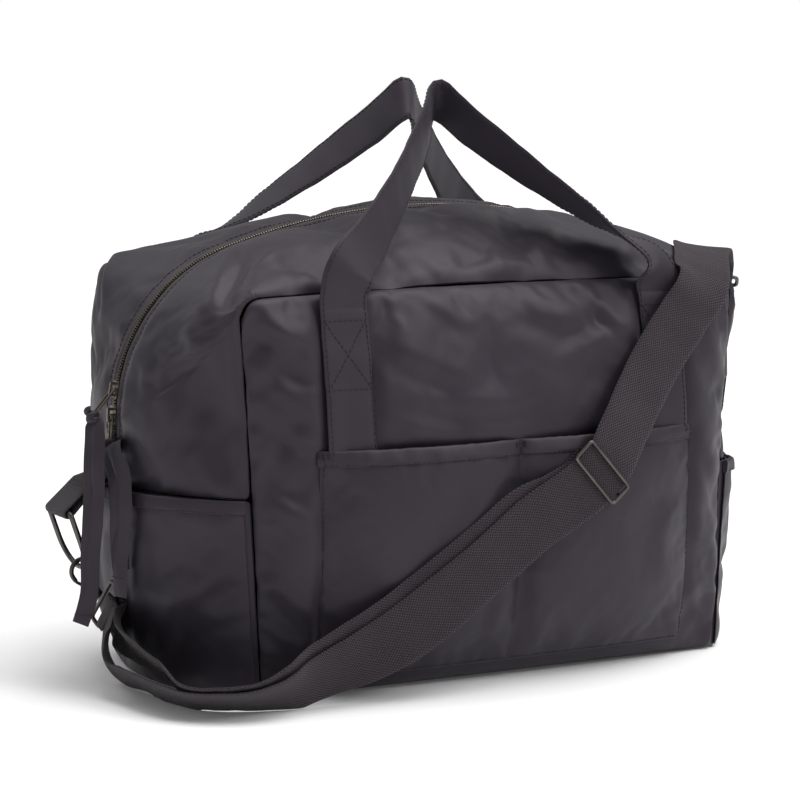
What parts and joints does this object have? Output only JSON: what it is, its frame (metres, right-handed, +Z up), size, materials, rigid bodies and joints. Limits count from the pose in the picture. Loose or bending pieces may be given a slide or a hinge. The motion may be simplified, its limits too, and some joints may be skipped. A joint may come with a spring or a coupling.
{
  "type": "weekender bag",
  "caption": "Soft nylon weekender bag with a zipped dome top, carry handles, slip pockets and a clip-on webbing shoulder strap that adjusts with a slide.",
  "frame": {"origin": "centre of the flat underside of the base", "axes": "+Z up, the front with the wide patch pocket faces -Y, and the bag's length runs along X"},
  "size_m": [0.5849, 0.3277, 0.4427],
  "materials": {
    "nylon": "satin quilted-weight nylon",
    "nylon_edge": "satin nylon, folded and topstitched",
    "webbing": "matte woven webbing",
    "lining": "matte lining cloth",
    "board": "smooth plastic board",
    "zip_tape": "woven zip tape",
    "zip_metal": "dark plated metal",
    "hardware": "brushed pewter grey metal"
  },
  "bodies": {
    "bag": {"front_panel": "nylon", "back_panel": "nylon", "top_panel_front": "nylon", "top_panel_back": "nylon", "end_panel_left": "nylon", "end_panel_right": "nylon", "base_panel": "nylon", "base_board": "board", "lining": "lining", "front_pocket": "nylon", "end_pocket_left": "nylon", "end_pocket_right": "nylon", "zipper_tape_front": "zip_tape", "zipper_tape_back": "zip_tape", "zipper_chain_front": "zip_metal", "zipper_chain_back": "zip_metal", "zipper_stop_left": "zip_metal", "zipper_stop_right": "zip_metal", "handle_anchor_front_left": "nylon_edge", "handle_anchor_front_right": "nylon_edge", "handle_anchor_back_left": "nylon_edge", "handle_anchor_back_right": "nylon_edge", "dring_tab_left": "webbing", "dring_tab_right": "webbing", "hook_barrel_left": "hardware", "hook_barrel_right": "hardware", "strap_eye_left": "hardware", "strap_eye_right": "hardware", "strap_upper_run": "webbing", "strap_outer_run": "webbing", "strap_inner_run": "webbing"},
    "slider_upper": {"slider_upper": "zip_metal"},
    "slider_lower": {"slider_lower": "zip_metal"},
    "pull_upper": {"pull_bail_upper": "zip_metal", "pull_strip_upper": "nylon_edge"},
    "pull_lower": {"pull_bail_lower": "zip_metal", "pull_strip_lower": "nylon_edge"},
    "handle_front": {"handle_front": "nylon_edge"},
    "handle_back": {"handle_back": "nylon_edge"},
    "ring_left": {"d_ring_left": "hardware"},
    "ring_right": {"d_ring_right": "hardware"},
    "hook_left": {"snap_hook_left": "hardware"},
    "hook_right": {"snap_hook_right": "hardware"},
    "gate_left": {"hook_gate_left": "hardware"},
    "gate_right": {"hook_gate_right": "hardware"},
    "triglide": {"triglide_frame": "hardware", "triglide_bar": "hardware", "strap_end_loop": "webbing"}
  },
  "joints": [
    {"name": "slider_upper_run", "type": "hinge", "parent": "bag", "child": "slider_upper", "pos_m": [-0.1266, 0, 0.195], "axis": [0, 1, 0], "range_deg": [0, 58]},
    {"name": "slider_lower_run", "type": "slide", "parent": "bag", "child": "slider_lower", "axis": [0, 0, -1], "range_m": [0, 0.003]},
    {"name": "pull_upper_swing", "type": "hinge", "parent": "slider_upper", "child": "pull_upper", "pos_m": [-0.25719, 0, 0.21803], "axis": [0, 1, 0], "range_deg": [0, 80]},
    {"name": "pull_lower_swing", "type": "hinge", "parent": "slider_lower", "child": "pull_lower", "pos_m": [-0.25913, 0, 0.19917], "axis": [0, 1, 0], "range_deg": [0, 2.5]},
    {"name": "handle_front_swing", "type": "hinge", "parent": "bag", "child": "handle_front", "pos_m": [0, -0.1279, 0.283], "axis": [1, 0, 0], "range_deg": [0, 12]},
    {"name": "handle_back_swing", "type": "hinge", "parent": "bag", "child": "handle_back", "pos_m": [0, 0.1279, 0.283], "axis": [-1, 0, 0], "range_deg": [0, 120]},
    {"name": "ring_left_swing", "type": "hinge", "parent": "bag", "child": "ring_left", "pos_m": [-0.3005, 0, 0.1315], "axis": [0, 1, 0], "range_deg": [-3, 0]},
    {"name": "ring_right_swing", "type": "hinge", "parent": "bag", "child": "ring_right", "pos_m": [0.269, 0, 0.1985], "axis": [0, 1, 0], "range_deg": [0, 2]},
    {"name": "hook_left_swivel", "type": "hinge", "parent": "bag", "child": "hook_left", "pos_m": [-0.26924, 0.00629, 0.06665], "axis": [-0.582, -0.2207, 0.7827], "range_deg": [-20, 20]},
    {"name": "hook_right_swivel", "type": "hinge", "parent": "bag", "child": "hook_right", "pos_m": [0.25963, -0.00286, 0.27068], "axis": [0.2813, 0.1005, -0.9544], "range_deg": [-20, 20]},
    {"name": "gate_left_open", "type": "hinge", "parent": "hook_left", "child": "gate_left", "pos_m": [-0.27756, 0.00442, 0.0708], "axis": [-0.1317, 0.9753, 0.1771], "range_deg": [0, 20], "stiffness_Nm_per_rad": 0.002, "springref_deg": -5.73},
    {"name": "gate_right_open", "type": "hinge", "parent": "hook_right", "child": "gate_right", "pos_m": [0.26605, -0.00201, 0.26375], "axis": [-0.0284, 0.9949, 0.0964], "range_deg": [0, 20], "stiffness_Nm_per_rad": 0.002, "springref_deg": -5.73},
    {"name": "triglide_slide", "type": "slide", "parent": "bag", "child": "triglide", "axis": [0.7494, 0.0125, 0.662], "range_m": [0, 0.01]}
  ]
}
